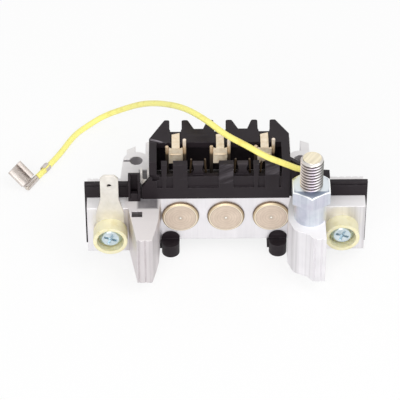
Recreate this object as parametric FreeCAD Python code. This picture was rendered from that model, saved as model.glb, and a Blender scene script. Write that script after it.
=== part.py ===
import FreeCAD, Part
import os
from math import cos, pi, radians, sin, sqrt, tan

# Alternator rectifier pack: two aluminium heatsinks with six press-fit diodes, held apart by
# a moulded insulator, under a black terminal housing. Millimetres, +Z up, seating plane Z = 0.
# Pieces are drawn from a datum on the axis of the middle positive diode (X), the front face of
# the front web (Y) and the seating plane (Z), and shifted at the end, so that the part's origin
# is midway between the two fixing holes.

V = FreeCAD.Vector
os.makedirs("parts", exist_ok=True)

# Fixing holes and datum
fixing_spacing = 58.5
fixing_hole_d = 4.6
datum_x = 2.35
datum_y = -19.5

# Sides of the flatted wires and bars
wire_side_count = 8
bar_side_count = 12

# Levels
front_bottom_z = 5.0
plate_top_z = 25.0

# Front heatsink
web_past_left_diode = 8.0
web_past_right_diode = 7.3
lug_thickness = 5.8
web_thickness = 6.0
left_column_width = 10.2
right_column_width = 10.9
column_reach = 22.5
column_groove = 0.35
column_groove_pitch = 2.3
port_width = 3.7
port_depth = 2.9
port_y = -10.3
stud_wall = 3.6
notch_top_z = 8.8

# Clamp points in the lugs
clamp_from_end = 8.1
bush_side_gap = 0.4
clamp_z = 15.0

# Positive and negative diodes
diode_d = 13.0
diode_pitch = 16.0
diode_z = 15.9
diode_proud = 1.15
diode_edge = 0.55
diode_lead_d = 1.2
lead_bend = 1.4
crank_low_z = 30.0
crank_high_z = 35.0
press_clearance = 0.02

# Insulating moulding
insulator_wall = 1.6
insulator_margin = 0.8
insulator_bottom_z = 3.6
insulator_top_z = 31.2
foot_d = 6.3
foot_reach = 4.4
foot_from_left = 1.3
foot_from_right = 1.6
foot_rib = 0.7
plug_d = 6.6
plug_clearance = 0.1

# Rear heatsink
rear_lug_thickness = 8.4
lead_gap = 8.0
rear_web_thickness = 6.0
rear_arc_r = 64.0
rear_depth = 35.8
fin_thickness = 1.5
fin_pitch = 4.2
boss_d = 9.4
boss_slit = 1.0
boss_foot = 0.8
serration_depth = 0.5
serration_pitch = 2.4

# Terminal housing
housing_past_web = 2.8
housing_short_of_web = 1.1
housing_front_y = -1.0
housing_back_y = 21.5
housing_top_z = 42.0
housing_wall = 1.6
roof_thickness = 2.4
roof_front_y = 9.5
band_height = 5.0
band_relief = 0.6
sill_z = 34.7
post_top_z = 40.6
post_width = 5.0
rib_width = 2.1
slot_width = 4.3
slot_depth = 5.5
front_wall = 2.4
saddle_depth = 1.2
notch_depth = 4.8
nub_width = 2.1
nub_r = 0.7
channel_height = 10.0
gusset_low_height = 10.6
gusset_high_height = 11.0
chamfer_left = (5.4, 10.1)
chamfer_right = (4.6, 7.6)

# Phase terminals
terminal_pitch = 15.5
terminal_middle_x = -2.0
terminal_sheet = 0.5
tab_width = 2.8
tab_sunk = 0.2
plate_width = 4.9
plate_drop = 7.0
tab_end_y = 14.8
plate_y = 6.6

# Link strip
link_sheet = 0.7
link_height = 2.4
link_y = 5.9
link_z = 26.0
hook_z = 30.0
hook_height = 6.0
hook_width = 3.1
hook_depth = 2.4
hook_y = 0.6

# Small diodes
trio_d = 2.7
trio_length = 3.0
trio_lead_d = 0.7
trio_z = 31.2

# Output stud
stud_from_side = 5.2
stud_y = -10.5
stud_thread_d = 8.0
stud_collar_d = 11.2
stud_collar_height = 8.8
stud_hex_af = 13.0
stud_hex_height = 5.7
stud_length_above_hex = 12.2
stud_shank_d = 7.0
stud_end_chamfer = 0.6

# Blade terminal
blade_width = 6.3
blade_sheet = 0.8
blade_base_width = 9.7
blade_tip_z = 40.8
blade_hole_d = 1.7
blade_hole_from_tip = 4.6
blade_shoulder_z = 30.0
blade_base_z = 23.5
blade_tip_chamfer = 1.4

# Bushes and clamp screws
bush_d = 12.0
bush_flange = 5.3
bush_sleeve_d = 7.0
bush_recess_d = 9.4
bush_floor = 1.5
sleeve_short = 0.2
screw_d = 4.0
screw_head_d = 8.0
screw_head_height = 2.6
screw_head_edge = 1.0
cross_span = 4.6
cross_width = 0.9
cross_depth = 1.5
screw_length = 16.0
fit_clearance = 0.15

# Lead and flag receptacle
lead_d = 2.2
lead_core_d = 1.5
crimp_sheet = 0.4
grip_length = 2.8
grip_end = 7.4
flag_start = 0.4
flag_width = 7.6
flag_depth = 7.6
flag_roll_r = 1.15
flag_tilt = 37.0
barrel_seam = 32.0
spine_width = 0.9

# Lead outlet in the housing, behind the stud
outlet_from_stud = 1.4
outlet_past_column = 1.8
outlet_y = -1.3
outlet_z = 37.9


def outline(points):
    """Closed face in the XY plane; a point is (x, y) or (x, y, corner radius)."""
    corners = [V(p[0], p[1], 0) for p in points]
    arrivals, middles, departures = [], [], []
    for i, corner in enumerate(corners):
        radius = points[i][2] if len(points[i]) > 2 else 0
        back = (corners[i - 1] - corner).normalize()
        ahead = (corners[(i + 1) % len(corners)] - corner).normalize()
        half = back.getAngle(ahead) / 2
        setback = radius / tan(half)
        arrivals.append(corner + back * setback)
        departures.append(corner + ahead * setback)
        bisector = (back + ahead).normalize() if radius else V(0, 0, 0)
        middles.append(corner + bisector * (radius / sin(half) - radius))
    edges = []
    for i in range(len(corners)):
        if (arrivals[i] - departures[i]).Length > 1e-6:
            edges.append(Part.Arc(arrivals[i], middles[i], departures[i]).toShape())
        following = arrivals[(i + 1) % len(corners)]
        if (following - departures[i]).Length > 1e-6:
            edges.append(Part.LineSegment(departures[i], following).toShape())
    return Part.Face(Part.Wire(edges))


def prism_z(points, low, high):
    """Outline in X and Y, extruded along Z."""
    solid = outline(points).extrude(V(0, 0, high - low))
    solid.translate(V(0, 0, low))
    return solid


def prism_y(points, front, back):
    """Outline in X and Z, extruded along Y."""
    solid = outline(points).extrude(V(0, 0, back - front))
    solid.rotate(V(0, 0, 0), V(1, 0, 0), 90)
    solid.translate(V(0, back, 0))
    return solid


def notch_z(x, y, depth, low, high):
    """V-shaped groove along Z, cut into a face that looks to -Y for a positive depth."""
    points = [(x - abs(depth), y), (x + abs(depth), y), (x, y + depth)]
    if depth < 0:
        points.reverse()
    return prism_z(points, low, high)


def block(x0, x1, y0, y1, z0, z1):
    return Part.makeBox(x1 - x0, y1 - y0, z1 - z0, V(x0, y0, z0))


def rod(start, end, diameter):
    axis = end - start
    return Part.makeCylinder(diameter / 2, axis.Length, start, axis)


def flatted_rod(start, end, diameter, sides):
    """Bar with that many flats, its corners on the diameter."""
    return Part.Face(polygon_wire(start, end - start, diameter, sides)).extrude(end - start)


def turned(profile, base, axis):
    """Solid of revolution; the profile is (radius, height) along the axis from the base."""
    points = [V(r, 0, h) for r, h in profile]
    face = Part.Face(Part.makePolygon(points + points[:1]))
    solid = face.revolve(V(0, 0, 0), V(0, 0, 1), 360)
    solid.Placement = FreeCAD.Placement(base, FreeCAD.Rotation(V(0, 0, 1), axis))
    return solid


def polygon_wire(centre, axis, diameter, sides):
    """Closed section with that many flats, its corners on the diameter, square to the axis."""
    angles = [2 * pi * k / sides for k in range(sides)]
    corners = [V(diameter / 2 * cos(a), diameter / 2 * sin(a), 0) for a in angles]
    wire = Part.makePolygon(corners + corners[:1])
    wire.Placement = FreeCAD.Placement(centre, FreeCAD.Rotation(V(0, 0, 1), axis))
    return wire


def bent_wire(points, diameter, radii, sides):
    """Straight runs joined by tangent arcs, or by a mitre where the radius is 0."""
    edges = []
    start = points[0]
    for i in range(1, len(points) - 1):
        radius = radii[i - 1]
        arrive = leave = points[i]
        if radius:
            back = (points[i - 1] - points[i]).normalize()
            ahead = (points[i + 1] - points[i]).normalize()
            half = back.getAngle(ahead) / 2
            arrive = points[i] + back * (radius / tan(half))
            leave = points[i] + ahead * (radius / tan(half))
            middle = points[i] + (back + ahead).normalize() * (radius / sin(half) - radius)
        edges.append(Part.LineSegment(start, arrive).toShape())
        if radius:
            edges.append(Part.Arc(arrive, middle, leave).toShape())
        start = leave
    edges.append(Part.LineSegment(start, points[-1]).toShape())
    path = Part.Wire(edges)
    section = polygon_wire(points[0], points[1] - points[0], diameter, sides)
    mitred = 1
    return path.makePipeShell([section], True, False, mitred), path.Length, Part.Face(section).Area


def join(solids):
    return solids[0].multiFuse(solids[1:]).removeSplitter() if len(solids) > 1 else solids[0]


def save(name, solids):
    shape = Part.makeCompound(solids)
    shape.translate(V(datum_x, datum_y, 0))
    shape.exportStep("parts/" + name + ".step")
    count = sum(len(s.Solids) for s in solids)
    print(f"{name}: {count} solid(s), {shape.Volume:.1f} mm3, valid {shape.isValid()}")


diode_x = [-diode_pitch, 0.0, diode_pitch]
terminal_x = [terminal_middle_x + k * terminal_pitch for k in (-1, 0, 1)]
web_left_x = diode_x[0] - web_past_left_diode
web_right_x = diode_x[2] + web_past_right_diode
left_column_outer_x = web_left_x - left_column_width
right_column_outer_x = web_right_x + right_column_width
lug_length = clamp_from_end + bush_d / 2 + bush_side_gap
front_half_length = right_column_outer_x + lug_length
clamp_x = [clamp_from_end - front_half_length, front_half_length - clamp_from_end]
stud_x = right_column_outer_x - stud_from_side
housing_left_x = web_left_x - housing_past_web
housing_right_x = web_right_x - housing_short_of_web
outlet_left_x = stud_x + outlet_from_stud
outlet_right_x = right_column_outer_x + outlet_past_column
hole_x = [-datum_x - fixing_spacing / 2, -datum_x + fixing_spacing / 2]
hole_y = -datum_y
foot_x = [web_left_x + foot_from_left + foot_d / 2, web_right_x - foot_from_right - foot_d / 2]
foot_y = foot_d / 2 - foot_reach
web_back_y = web_thickness
web_middle_x = (web_left_x + web_right_x) / 2
rear_web_y = web_back_y + lead_gap
lead_offset_x = plate_width / 2 + diode_lead_d / 2
lead_y = plate_y + terminal_sheet + diode_lead_d / 2 + 0.4
lead_embed = 1.0
saddle_x = [(a + b) / 2 for a, b in zip(terminal_x, terminal_x[1:])]
column_side_gap = 0.2
step_x = right_column_outer_x + column_side_gap
rear_step_x = step_x + insulator_wall
bush_hole_d = bush_sleeve_d + 2 * fit_clearance
screw_hole_d = screw_d + 2 * fit_clearance
bore_d = screw_hole_d / cos(pi / bar_side_count)
column_front_y = -column_reach
post_back_y = housing_front_y + front_wall
saddle_back_y = post_back_y + saddle_depth
stud_hex_z = plate_top_z + stud_collar_height
stud_hex_top_z = stud_hex_z + stud_hex_height

# Route of the lead from the outlet to the end of its insulation
lead_points = [
    (outlet_left_x, outlet_y, outlet_z),
    (outlet_left_x - 4.0, outlet_y, outlet_z),
    (20.3, -2.5, 41.6),
    (13.5, -2.7, 44.6),
    (6.5, 0.5, 46.5),
    (-0.5, 6.0, 47.7),
    (-7.0, 14.6, 47.2),
    (-14.0, 26.0, 44.0),
    (-21.5, 38.5, 34.8),
    (-29.5, 52.6, 23.2),
    (-37.8, 64.6, 11.0),
    (-44.8, 69.8, 3.6),
    (-51.2, 68.0, 1.2),
    (-55.8, 62.1, 1.2),
    (-61.7, 49.4, 1.55),
    (-68.6, 37.3, 1.75),
]


def front_heatsink():
    """Extrusion cut along Z: lugs, tapering left column, web, and the column under the stud."""
    half = front_half_length
    lx = left_column_outer_x
    rx = right_column_outer_x
    front = column_front_y
    # the inner wall of the right column runs round the stud's axis on this radius
    inner_r = stud_collar_d / 2 + stud_wall
    angles = [radians(a) for a in (148, 180, 212, 240)]
    arc = [(stud_x + inner_r * cos(a), stud_y + inner_r * sin(a)) for a in angles]
    points = [
        (-half, -lug_thickness),
        (lx, -lug_thickness),
        (lx + 3.0, front),
        (web_left_x - 2.0, front, 0.6),
        (web_left_x - 0.7, front + 5.2, 4.0),
        (web_left_x + 0.3, front + 10.5, 6.0),
        (web_left_x + 0.8, 0, 0.8),
        (web_right_x - 0.5, 0),
        (arc[0][0] + 0.4, arc[0][1], 3.0),
        (arc[1][0] + 1.6, arc[1][1] - 2.0, 4.0),
        (arc[2][0] + 2.1, arc[2][1] - 2.4, 3.0),
        (arc[3][0] + 3.8, arc[3][1] - 1.6, 3.0),
        (rx - 4.3, front),
        (rx, front),
        (rx, -lug_thickness),
        (half, -lug_thickness),
        (half, 0),
        (step_x, 0),
        (step_x, web_back_y),
        (-step_x, web_back_y),
        (-step_x, 0),
        (-half, 0),
    ]
    body = prism_z(points, front_bottom_z, plate_top_z)
    low = front_bottom_z - 1
    high = plate_top_z + 1
    cuts = [rod(V(x, -1, diode_z), V(x, web_back_y + 1, diode_z), diode_d) for x in diode_x]
    cuts += [rod(V(x, -lug_thickness - 1, clamp_z), V(x, 1, clamp_z), bush_hole_d) for x in clamp_x]
    cuts.append(rod(V(stud_x, stud_y, low), V(stud_x, stud_y, high), stud_shank_d))
    port_x = lx + 1.2
    cuts.append(block(port_x, port_x + port_width, port_y, port_y + port_depth, low, high))
    cuts += [foot_plug(x, plug_d, -1, web_back_y + 1, low) for x in foot_x]
    # drawn grooves down the front faces of the two columns
    for left, right in ((lx + 3.6, web_left_x - 2.4), (rx - 3.8, rx - 0.6)):
        count = int((right - left) / column_groove_pitch) + 1
        for k in range(count):
            cuts.append(notch_z(left + k * column_groove_pitch, front, column_groove, low, high))
    return body.cut(cuts)


def foot_plug(x, width, front, back, bottom):
    """Round-topped shape of the notch over a foot, and of the plug that fills it."""
    r = width / 2
    centre_z = notch_top_z - plug_d / 2
    top = rod(V(x, front, centre_z), V(x, back, centre_z), width)
    return join([top, block(x - r, x + r, front, back, bottom, centre_z)])


def heatsink_insulator():
    """Wall that follows the back of the front heatsink, with a ledge under it and two feet."""
    end = front_half_length + insulator_margin
    step = step_x
    t = insulator_wall
    outer = [
        (-end, 0),
        (-step, 0),
        (-step, web_back_y),
        (web_left_x, web_back_y),
        (web_left_x, web_back_y + t),
        (-step - t, web_back_y + t),
        (-step - t, t),
        (-end, t),
    ]
    mirrored = [(-x, y) for x, y in reversed(outer)]
    right = [(web_right_x if x == -web_left_x else x, y) for x, y in mirrored]
    walls = [prism_z(side, insulator_bottom_z, plate_top_z) for side in (outer, right)]
    # the straight end walls stand higher than the metal
    for near, far in ((-end, left_column_outer_x), (outlet_right_x, end)):
        lip = block(near, far, 0, t, plate_top_z, insulator_top_z)
        groove = block(near - 1, far + 1, -0.5, 0.4, insulator_top_z - 1.4, insulator_top_z - 0.8)
        walls.append(lip.cut(groove))
    # ledge under the web, with the feet below its front edge and a plug over each of them
    ledge_back = web_back_y + t
    walls.append(block(-step - t, step + t, web_back_y - 3.4, ledge_back, insulator_bottom_z, front_bottom_z))
    r = foot_d / 2
    for x in foot_x:
        walls.append(rod(V(x, foot_y, 0), V(x, foot_y, front_bottom_z), foot_d))
        walls.append(block(x - r - foot_rib, x + r, foot_y, ledge_back, insulator_wall, front_bottom_z))
        walls.append(foot_plug(x, plug_d - 2 * plug_clearance, 0, ledge_back, insulator_bottom_z))
    body = join(walls)
    holes = [flatted_rod(V(x, -1, clamp_z), V(x, t + 1, clamp_z), bore_d, bar_side_count) for x in clamp_x]
    return body.cut(holes)


def rear_heatsink():
    """Extrusion cut along Z: lugs, web behind the leads, bosses on the fixing holes, and fins."""
    half = front_half_length
    lug_front = insulator_wall
    lug_back = lug_front + rear_lug_thickness
    shoulder_y = web_back_y + insulator_wall
    web_back = rear_web_y + rear_web_thickness
    arc_y = rear_depth - rear_arc_r
    boss_r = boss_d / 2
    points = [
        (-half, lug_front),
        (-rear_step_x, lug_front),
        (-rear_step_x, shoulder_y),
        (web_left_x - 1, shoulder_y),
        (web_left_x - 1, rear_web_y),
        (web_right_x + 1, rear_web_y),
        (web_right_x + 1, shoulder_y),
        (rear_step_x, shoulder_y),
        (rear_step_x, lug_front),
        (half, lug_front),
        (half, lug_back),
        (hole_x[1] + boss_r + boss_foot, lug_back),
        (hole_x[1] + boss_r, web_back),
        (hole_x[0] - boss_r, web_back),
        (hole_x[0] - boss_r - boss_foot, lug_back),
        (-half, lug_back),
    ]
    body = prism_z(points, 0, plate_top_z)
    reach = Part.makeCylinder(rear_arc_r, plate_top_z, V(0, arc_y, 0))
    fins = []
    count = int((hole_x[1] - hole_x[0]) / 2 / fin_pitch)
    middle = (hole_x[0] + hole_x[1]) / 2
    for k in range(-count, count + 1):
        x = middle + k * fin_pitch
        half_fin = fin_thickness / 2
        fins.append(block(x - half_fin, x + half_fin, web_back - 1, rear_depth, 0, plate_top_z))
    # the outermost fins start on the bosses
    for x, outward in zip(hole_x, (-1, 1)):
        x0, x1 = sorted((x + outward * (boss_r - 1.3), x + outward * (boss_r - 4.4)))
        fins.append(block(x0, x1, hole_y, rear_depth, 0, plate_top_z))
    bosses = [rod(V(x, hole_y, 0), V(x, hole_y, plate_top_z), boss_d) for x in hole_x]
    body = join([body, join(fins).common(reach)] + bosses)
    low = -1
    high = plate_top_z + 1
    cuts = [rod(V(x, hole_y, low), V(x, hole_y, high), fixing_hole_d) for x in hole_x]
    for x, outward in zip(hole_x, (-1, 1)):
        x0, x1 = sorted((x + outward * fixing_hole_d / 4, x + outward * (boss_r + boss_foot)))
        cuts.append(block(x0, x1, hole_y - boss_slit / 2, hole_y + boss_slit / 2, low, high))
    for x in terminal_x:
        axis_x = x - lead_offset_x
        cuts.append(rod(V(axis_x, rear_web_y - 1, diode_z), V(axis_x, rear_depth, diode_z), diode_d))
    cuts += [rod(V(x, lug_front - 1, clamp_z), V(x, lug_back + 1, clamp_z), screw_hole_d) for x in clamp_x]
    # serrations along the back of the lugs
    for sign in (-1, 1):
        for k in range(4):
            x = sign * (half - 1.6 - k * serration_pitch)
            cuts.append(notch_z(x, lug_back, -serration_depth, low, high))
    return body.cut(cuts)


def press_diode(x, face_y, facing, edge, lead):
    """Press-fit diode: cap with its edge broken, can and lead; facing is +1 when it looks to -Y."""
    r = diode_d / 2 - press_clearance
    length = web_thickness + diode_proud
    profile = [(0, 0), (r - edge, 0), (r, edge), (r, length), (0, length)]
    if not edge:
        profile.pop(2)
    can = turned(profile, V(x, face_y - facing * diode_proud, diode_z), V(0, facing, 0))
    return join([can, lead])


def positive_lead(x, lead_x):
    """Lead that leaves the back of the front web and rises beside its phase terminal."""
    points = [
        V(x, web_back_y - lead_embed, diode_z),
        V(x, lead_y - lead_bend, diode_z),
        V(x, lead_y, diode_z + lead_bend),
        V(x, lead_y, crank_low_z),
        V(lead_x, lead_y, crank_high_z),
        V(lead_x, lead_y, housing_top_z + 2.4),
    ]
    return bent_wire(points, diode_lead_d, [0, 0, 0, 0], wire_side_count)[0]


def negative_lead(x):
    """Lead that leaves the front of the rear web and rises straight beside its phase terminal."""
    points = [
        V(x, rear_web_y + lead_embed, diode_z),
        V(x, lead_y + lead_bend, diode_z),
        V(x, lead_y, diode_z + lead_bend),
        V(x, lead_y, housing_top_z - 0.7),
    ]
    return bent_wire(points, diode_lead_d, [0, 0], wire_side_count)[0]


def terminal_housing():
    """Moulded box: slotted roof, posts and ribs at the front, saddles, left channel, lead outlet."""
    x0 = housing_left_x
    x1 = housing_right_x
    top = housing_top_z
    wall = housing_wall
    low = plate_top_z
    front = housing_front_y
    back = housing_back_y
    roof_points = [(x0, front), (x0, back - chamfer_left[1]), (x0 + chamfer_left[0], back, nub_r)]
    for i, x in enumerate(terminal_x):
        slot_left = x - slot_width / 2
        slot_right = x + slot_width / 2
        roof_points += [
            (slot_left, back, nub_r),
            (slot_left, back - slot_depth, nub_r),
            (slot_right, back - slot_depth, nub_r),
            (slot_right, back, nub_r),
        ]
        if i < len(terminal_x) - 1:
            next_left = terminal_x[i + 1] - slot_width / 2
            roof_points += [
                (slot_right + nub_width, back, nub_r),
                (slot_right + nub_width + 2.2, back - notch_depth),
                (next_left - nub_width - 1.6, back - notch_depth),
                (next_left - nub_width, back, nub_r),
            ]
    roof_points += [(x1 - chamfer_right[0], back), (x1, back - chamfer_right[1]), (x1, front)]
    body = prism_z(roof_points, low, top)
    # inside: one space under the roof, open below for the leads, and open above in front of the roof
    inner_back = back - slot_depth - wall
    left_in = x0 + wall + 1.0
    right_in = x1 - wall - 1.3
    under_roof = block(left_in, right_in, post_back_y, inner_back, low - 1, top - roof_thickness)
    open_front = block(left_in, right_in, post_back_y, roof_front_y, low + 2, top + 1)
    seat_y = rear_web_y + rear_web_thickness
    rear_seat = block(x0 - 1, x1 + 1, seat_y, back + 1, low - 1, top - roof_thickness)
    above_sill = block(left_in, right_in, front - 1, roof_front_y, sill_z, top + 1)
    relief = block(left_in, right_in, front - 1, front + band_relief, low + band_height, top + 1)
    side_notch = block(x0 - 1, left_in + 1, front - 1, front + band_relief + 0.6, sill_z - 1.4, sill_z + 1.6)
    body = body.cut([under_roof, open_front, rear_seat, above_sill, relief, side_notch])
    # channels in the roof that the terminals lie in
    bed_z = top - terminal_sheet - tab_sunk
    for x in terminal_x:
        half = tab_width / 2 + 0.5
        body = body.cut(block(x - half, x + half, roof_front_y - 1, back, bed_z, top + 1))
    added = []
    for x in diode_x:
        half = post_width / 2
        added.append(block(x - half, x + half, front, post_back_y, low + band_height - 1, post_top_z))
    for x in (diode_x[0] - post_width - 0.6, diode_x[2] - post_width - 0.6):
        points = [
            (x - rib_width / 2, post_top_z),
            (x - rib_width / 4, low + band_height - 1),
            (x + rib_width / 4, low + band_height - 1),
            (x + rib_width / 2, post_top_z),
        ]
        added.append(prism_y(points, front, post_back_y))
    # saddles between the posts
    for x in saddle_x:
        points = [
            (x - 2.5, low + 2),
            (x + 2.5, low + 2),
            (x + 2.3, sill_z, 2.0),
            (x + 1.25, sill_z + 2.0, 2.0),
            (x + 1.9, post_top_z - 1.2),
            (x - 1.9, post_top_z - 1.2),
            (x - 1.25, sill_z + 2.0, 2.0),
            (x - 2.3, sill_z, 2.0),
        ]
        added.append(prism_y(points, post_back_y - 0.6, saddle_back_y))
    # front wall runs on to the left under the hook, with its corner cut off
    left_wall = [
        (x0 - 2.5, low),
        (x0 + 1, low),
        (x0 + 1, sill_z + 0.3),
        (x0 + 0.7, sill_z + 0.3),
        (x0 - 2.5, sill_z - 4.2),
    ]
    added.append(prism_y(left_wall, front, front + wall))
    # left channel, open to the front and above
    cx0 = left_column_outer_x
    cx1 = x0 - hook_width - 0.1
    channel_back = insulator_wall
    channel_front = front - 1.2
    channel = block(cx0, cx1, channel_front, channel_back, low, low + channel_height)
    skin = 0.8
    hollow_y = (channel_front - 1, channel_back - skin)
    channel = channel.cut(block(cx0 + skin, cx1 - skin, *hollow_y, low + 1, low + channel_height + 1))
    added.append(channel)
    added.append(block(cx0 + 1, cx1 - 1, channel_front, channel_front + 1.6, low, low + 3.5))
    added.append(block(cx1 - 0.5, x0 + 1, front + 0.4, channel_back, low, low + 4.0))
    # right side: gusset that slopes down to the lead outlet behind the stud
    gusset = [
        (x1 - 1, low),
        (outlet_right_x, low),
        (outlet_right_x, low + gusset_low_height),
        (outlet_left_x, low + gusset_high_height),
        (x1 - 0.2, top),
        (x1 - 1, top),
    ]
    added.append(prism_y(gusset, 0, insulator_wall))
    outlet = block(outlet_left_x, outlet_right_x - 2.6, outlet_y - 1.7, insulator_wall, low, outlet_z + 1.7)
    added.append(outlet)
    side_top = low + gusset_low_height
    added.append(block(outlet_right_x - 3.0, outlet_right_x, outlet_y - 0.6, insulator_wall, low, side_top))
    body = join([body] + added)
    # way through the left wall for the link strip
    gap = 0.1
    slot_y = (link_y - gap, link_y + link_sheet + gap)
    slot_z = (link_z - gap, link_z + link_height + gap)
    return body.cut(block(x0 - 1, x0 + wall + 2, *slot_y, *slot_z))


def phase_terminal(x):
    """Tab lying on the roof, bent down into a wide plate with a wing at each lead."""
    t = terminal_sheet
    top = housing_top_z - tab_sunk
    half_tab = tab_width / 2
    half = plate_width / 2
    tab = prism_z(
        [
            (x - half_tab, plate_y),
            (x + half_tab, plate_y),
            (x + half_tab, tab_end_y),
            (x - half_tab, tab_end_y - 0.9),
        ],
        top - t,
        top,
    )
    plate = prism_y(
        [
            (x - half, top - plate_drop),
            (x - half + 1.9, top - plate_drop),
            (x - half + 1.9, top - plate_drop + 0.7),
            (x + half, top - plate_drop + 0.7),
            (x + half, top - 0.4, 0.3),
            (x + half_tab, top - 0.4),
            (x + half_tab, top),
            (x - half_tab, top),
            (x - half_tab, top - 0.4),
            (x - half, top - 0.4, 0.3),
        ],
        plate_y,
        plate_y + t,
    )
    wings = []
    for side in (-1, 1):
        near, far = sorted((x + side * half, x + side * (half - t)))
        wings.append(block(near, far, plate_y, lead_y + 0.3, top - 6.0, top - 1.2))
    # folded edge across the plate, pressed when the leads were closed in
    ridge = block(x - half + 0.4, x + half - 0.4, plate_y - 0.25, plate_y, top - 3.2, top - 2.8)
    return join([tab, plate, ridge] + wings)


def trio_diode(x, seat_y):
    """Small axial diode seated behind a saddle or the front wall, its leads bent up on both sides."""
    half = trio_length / 2
    y = seat_y + trio_d / 2
    shape = [flatted_rod(V(x - half, y, trio_z), V(x + half, y, trio_z), trio_d, bar_side_count)]
    for side in (-1, 1):
        points = [
            V(x + side * (half - 0.4), y, trio_z),
            V(x + side * (half + 1.3), y, trio_z),
            V(x + side * (half + 0.9), y - 0.3, sill_z + 4.6),
        ]
        shape.append(bent_wire(points, trio_lead_d, [0], wire_side_count)[0])
    return join(shape)


def link_strip():
    """Flat strip below the small diodes; at the left it comes out, rises and ends in a hook."""
    t = link_sheet
    wall_x = housing_left_x
    left = wall_x - hook_width
    top = hook_z + hook_height
    back = link_y + t
    strip = block(wall_x - t, housing_right_x - 3.2, link_y, back, link_z, link_z + link_height)
    riser = block(wall_x - t, wall_x, link_y - link_height, back, link_z, hook_z + link_height)
    arm = block(wall_x - t, wall_x, hook_y + hook_depth, back, hook_z, hook_z + link_height)
    hook = [
        (left, hook_z, 1.5),
        (wall_x, hook_z),
        (wall_x, top),
        (wall_x - t, top),
        (wall_x - t, hook_z + t),
        (left + t, hook_z + t, 0.8),
        (left + t, top),
        (left, top),
    ]
    return join([strip, riser, arm, prism_y(hook, hook_y, hook_y + hook_depth)])


def output_stud():
    """Collar, hexagon with chamfered corners and M8 end in one piece, pressed into the column."""
    corner_r = stud_hex_af / sqrt(3)
    hexagon = [(stud_x + corner_r * sin(k * pi / 3), stud_y - corner_r * cos(k * pi / 3)) for k in range(6)]
    head = prism_z(hexagon, stud_hex_z, stud_hex_top_z)
    # a cone over the hexagon takes the upper corners off at 30 degrees
    flat_r = stud_hex_af / 2 - 0.3
    wide_r = corner_r + 0.5
    envelope = turned(
        [
            (0, 0),
            (wide_r, 0),
            (wide_r, stud_hex_height - (wide_r - flat_r) * tan(radians(30))),
            (flat_r, stud_hex_height),
            (0, stud_hex_height),
        ],
        V(stud_x, stud_y, stud_hex_z),
        V(0, 0, 1),
    )
    head = head.common(envelope)
    shank = flatted_rod(
        V(stud_x, stud_y, front_bottom_z + 2),
        V(stud_x, stud_y, plate_top_z + 1),
        stud_shank_d - 2 * press_clearance,
        bar_side_count,
    )
    thread_r = stud_thread_d / 2
    top = stud_hex_top_z + stud_length_above_hex - plate_top_z
    stem = turned(
        [
            (0, 0),
            (stud_collar_d / 2, 0),
            (stud_collar_d / 2, stud_collar_height + 1),
            (thread_r, stud_collar_height + 1),
            (thread_r, top - stud_end_chamfer),
            (thread_r - stud_end_chamfer, top),
            (0, top),
        ],
        V(stud_x, stud_y, plate_top_z),
        V(0, 0, 1),
    )
    return join([stem, head, shank])


def blade_terminal():
    """Flat blade on the left lug, held at its round base under the bush."""
    x = clamp_x[0]
    half = blade_width / 2
    base = blade_base_width / 2
    back = -lug_thickness
    blade = prism_y(
        [
            (x - half, blade_shoulder_z),
            (x - base, blade_base_z),
            (x - base, clamp_z - base / 2),
            (x - base / 2, clamp_z - base),
            (x + base / 2, clamp_z - base),
            (x + base, clamp_z - base / 2),
            (x + base, blade_base_z),
            (x + half, blade_shoulder_z),
            (x + half, blade_tip_z - blade_tip_chamfer),
            (x + half - blade_tip_chamfer, blade_tip_z),
            (x - half + blade_tip_chamfer, blade_tip_z),
            (x - half, blade_tip_z - blade_tip_chamfer),
        ],
        back - blade_sheet,
        back,
    )
    hole_z = blade_tip_z - blade_hole_from_tip
    holes = [
        rod(V(x, back - 2, clamp_z), V(x, back + 1, clamp_z), bush_hole_d),
        rod(V(x, back - 2, hole_z), V(x, back + 1, hole_z), blade_hole_d),
    ]
    return blade.cut(holes)


def bush(x, seat_y):
    """Nylon shoulder bush; its sleeve passes through the lug."""
    seat = V(x, seat_y, clamp_z)
    sleeve_end = V(x, -sleeve_short, clamp_z)
    flange = rod(V(x, seat_y - bush_flange, clamp_z), seat, bush_d)
    sleeve = flatted_rod(V(x, seat_y - bush_floor / 2, clamp_z), sleeve_end, bush_sleeve_d, bar_side_count)
    recess = rod(V(x, seat_y - bush_flange - 1, clamp_z), V(x, seat_y - bush_floor, clamp_z), bush_recess_d)
    bore = flatted_rod(V(x, seat_y - bush_flange, clamp_z), V(x, 1, clamp_z), bore_d, bar_side_count)
    return join([flange, sleeve]).cut([recess, bore])


def clamp_screw(x, seat_y):
    """Pan-head screw with a cross recess, its head on the floor of the bush."""
    r = screw_head_d / 2
    h = screw_head_height
    profile = [
        (0, -h),
        (r - screw_head_edge, -h),
        (r, screw_head_edge - h),
        (r, 0),
        (0, 0),
    ]
    head_y = seat_y - bush_floor
    head = turned(profile, V(x, head_y, clamp_z), V(0, 1, 0))
    shank_start = V(x, head_y - 0.5, clamp_z)
    shank = flatted_rod(shank_start, V(x, head_y + screw_length, clamp_z), screw_d, bar_side_count)
    reach = cross_span / 2
    half = cross_width / 2
    cross = join(
        [
            block(-reach, reach, -half, half, -1, cross_depth),
            block(-half, half, -reach, reach, -1, cross_depth),
        ]
    )
    turn = FreeCAD.Rotation(V(0, 0, 1), V(0, 1, 0)).multiply(FreeCAD.Rotation(V(0, 0, 1), 20))
    cross.Placement = FreeCAD.Placement(V(x, head_y - h, clamp_z), turn)
    return join([head, shank]).cut(cross)


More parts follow.
